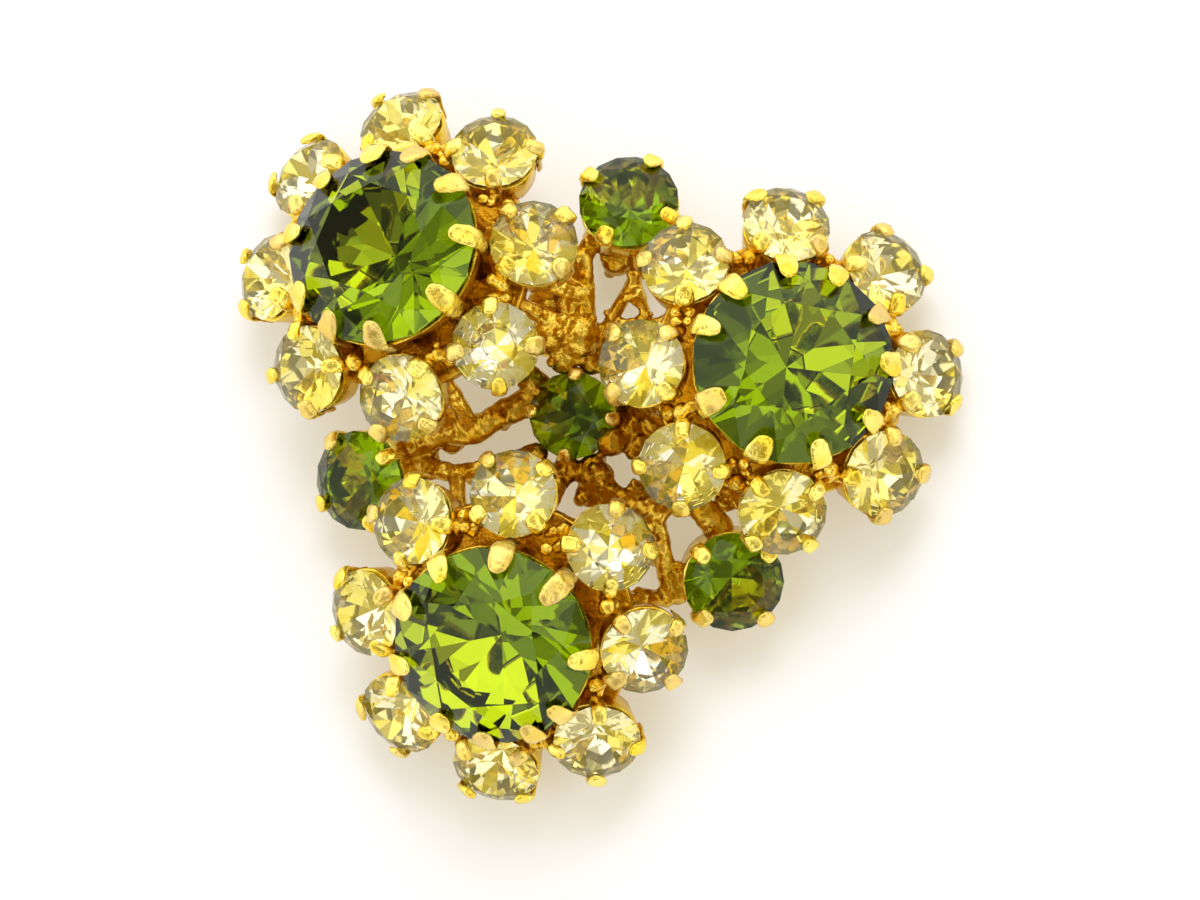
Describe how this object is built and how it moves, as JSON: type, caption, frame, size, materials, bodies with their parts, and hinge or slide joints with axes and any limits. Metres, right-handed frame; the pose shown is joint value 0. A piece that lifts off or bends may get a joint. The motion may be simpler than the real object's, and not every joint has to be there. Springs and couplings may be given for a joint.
{
  "type": "flower brooch",
  "caption": "Openwork brooch of flowers with cut green and pale yellow glass stones held by tabs in gilt cups, with a pin on its back.",
  "frame": {"origin": "centre of the outline, on the surface that the brooch lies on", "axes": "+Z out of the brooch's face, +X to its right and +Y to its top as seen from the front"},
  "size_m": [0.04, 0.0394, 0.0109],
  "materials": {
    "gilt": "bright gilt with rough solder and darker recesses",
    "green_glass": "faceted olive green glass with a foiled back",
    "pale_glass": "faceted pale yellow glass with a foiled back",
    "pin_metal": "gilt, plain"
  },
  "bodies": {
    "root": {"setting": "gilt", "large_stone_1": "green_glass", "large_stone_2": "green_glass", "large_stone_3": "green_glass", "pale_stone_1": "pale_glass", "pale_stone_2": "pale_glass", "pale_stone_3": "pale_glass", "pale_stone_4": "pale_glass", "pale_stone_5": "pale_glass", "pale_stone_6": "pale_glass", "pale_stone_7": "pale_glass", "pale_stone_8": "pale_glass", "pale_stone_9": "pale_glass", "pale_stone_10": "pale_glass", "pale_stone_11": "pale_glass", "pale_stone_12": "pale_glass", "pale_stone_13": "pale_glass", "pale_stone_14": "pale_glass", "pale_stone_15": "pale_glass", "pale_stone_16": "pale_glass", "pale_stone_17": "pale_glass", "pale_stone_18": "pale_glass", "pale_stone_19": "pale_glass", "pale_stone_20": "pale_glass", "pale_stone_21": "pale_glass", "pale_stone_22": "pale_glass", "pale_stone_23": "pale_glass", "pale_stone_24": "pale_glass", "green_stone_1": "green_glass", "green_stone_2": "green_glass", "green_stone_3": "green_glass", "green_stone_4": "green_glass", "pin_back": "pin_metal"}
  },
  "joints": []
}
